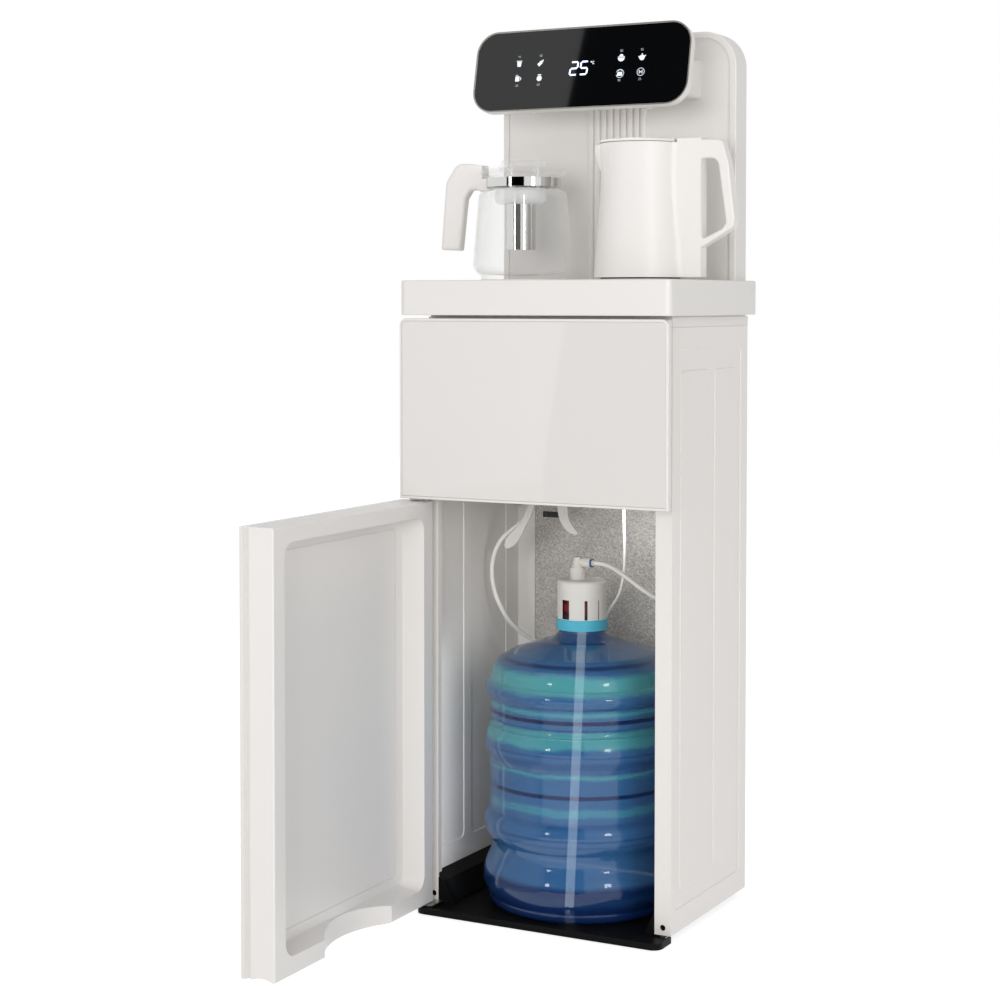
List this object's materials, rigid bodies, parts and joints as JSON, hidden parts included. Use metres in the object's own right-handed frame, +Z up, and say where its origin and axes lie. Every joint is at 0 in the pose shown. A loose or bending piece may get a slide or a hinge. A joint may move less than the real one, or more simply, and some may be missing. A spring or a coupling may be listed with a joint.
{
  "type": "bottom load water cooler",
  "caption": "Tall free-standing water dispenser: bottle compartment with hinged glass door below, kettle and teapot on a deck under a slanted touch-panel head.",
  "frame": {"origin": "centre of the cabinet's rectangular footprint, on the floor under the feet", "axes": "+X to the cooler's right as its front is faced, +Y to its back, +Z up"},
  "size_m": [0.4504, 0.6917, 1.2276],
  "materials": {
    "tray_black": "gloss black",
    "foot_rubber": "matt",
    "panel_white": "powder coated, satin",
    "galvanised": "galvanised, spangled",
    "screw_steel": "zinc plated",
    "shelf_steel": "satin",
    "abs_white": "satin",
    "white_glass": "back-painted glass, polished",
    "base_grey": "satin",
    "base_black": "satin black",
    "black_glass": "back-painted glass, polished",
    "board_green": "solder mask",
    "nozzle_white": "satin",
    "silicone": "translucent white",
    "tank_steel": "brushed",
    "pump_black": "satin",
    "bare_aluminium": "extruded",
    "switch_red": "satin",
    "bottle_blue": "clear blue polycarbonate",
    "ring_blue": "satin",
    "probe_white": "satin",
    "probe_red": "satin",
    "clip_blue": "satin",
    "straw_clear": "translucent",
    "hose_white": "satin",
    "foam": "expanded foam",
    "bush_nylon": "nylon",
    "magnet": "ferrite",
    "kettle_white": "satin gloss",
    "liner_steel": "brushed",
    "clear_glass": "clear",
    "polished_steel": "polished",
    "frosted_plastic": "frosted, satin"
  },
  "bodies": {
    "cabinet": {"base_tray": "tray_black", "rubber_feet": "foot_rubber", "side_panel_left": "panel_white", "side_panel_right": "panel_white", "back_panel": "galvanised", "back_screws": "screw_steel", "compartment_ceiling": "shelf_steel", "upper_frame": "abs_white", "front_carrier": "abs_white", "front_glass": "white_glass", "deck": "abs_white", "kettle_base_plate": "base_grey", "kettle_connector": "base_black", "column_front": "abs_white", "column_back": "abs_white", "head_boss": "abs_white", "head_frame": "abs_white", "head_glass": "black_glass", "circuit_boards": "board_green", "outlet_nozzles": "nozzle_white", "water_tubes": "silicone", "cold_tank": "tank_steel", "instant_heater": "tank_steel", "suction_pump": "pump_black", "heat_sink": "bare_aluminium", "fan_shroud": "pump_black", "power_gland": "pump_black", "switch_bezel": "pump_black", "drain_cap": "abs_white", "hinge_brackets": "screw_steel", "bottle": "bottle_blue", "neck_ring": "ring_blue", "probe_cap": "probe_white", "probe_core": "probe_red", "elbow_fitting": "probe_white", "elbow_clip": "clip_blue", "suction_straw": "straw_clear", "supply_hose": "hose_white", "sensor_lead": "hose_white", "ceiling_fittings": "probe_white", "hose_hooks": "probe_white", "hose_clip": "base_black"},
    "door": {"door_frame": "abs_white", "door_glass": "white_glass", "door_core": "foam", "door_bushes": "bush_nylon", "door_magnets": "magnet"},
    "kettle": {"kettle_shell": "kettle_white", "kettle_liner": "liner_steel", "kettle_handle": "kettle_white", "kettle_base_cover": "base_black"},
    "kettle_lid_body": {"kettle_lid": "kettle_white"},
    "teapot": {"teapot_glass": "clear_glass", "teapot_band": "polished_steel", "teapot_handle": "kettle_white"},
    "teapot_lid_body": {"teapot_lid": "clear_glass", "infuser_collar": "frosted_plastic", "infuser": "polished_steel"},
    "fan": {"fan_rotor": "pump_black"},
    "rocker": {"power_switch": "switch_red"}
  },
  "joints": [
    {"name": "door_hinge", "type": "hinge", "parent": "cabinet", "child": "door", "pos_m": [-0.1907, -0.15715, 0.3], "axis": [0, 0, 1], "range_deg": [-26, 89.06]},
    {"name": "kettle_lift", "type": "slide", "parent": "cabinet", "child": "kettle", "axis": [0, -0.9397, 0.342], "range_m": [0, 0.16]},
    {"name": "kettle_lid_hinge", "type": "hinge", "parent": "kettle", "child": "kettle_lid_body", "pos_m": [0.142, -0.0305, 1.065], "axis": [0, 1, 0], "range_deg": [0, 20]},
    {"name": "teapot_lift", "type": "slide", "parent": "cabinet", "child": "teapot", "axis": [0, -0.9397, 0.342], "range_m": [0, 0.16]},
    {"name": "teapot_lid_lift", "type": "slide", "parent": "teapot", "child": "teapot_lid_body", "axis": [0, 0, 1], "range_m": [0, 0.045]},
    {"name": "fan_spin", "type": "hinge", "parent": "cabinet", "child": "fan", "pos_m": [0.085, 0.12, 0.67], "axis": [0, 1, 0], "continuous": true},
    {"name": "rocker_tilt", "type": "hinge", "parent": "cabinet", "child": "rocker", "pos_m": [-0.152, 0.1305, 0.66], "axis": [1, 0, 0], "range_deg": [-16, 0]}
  ]
}
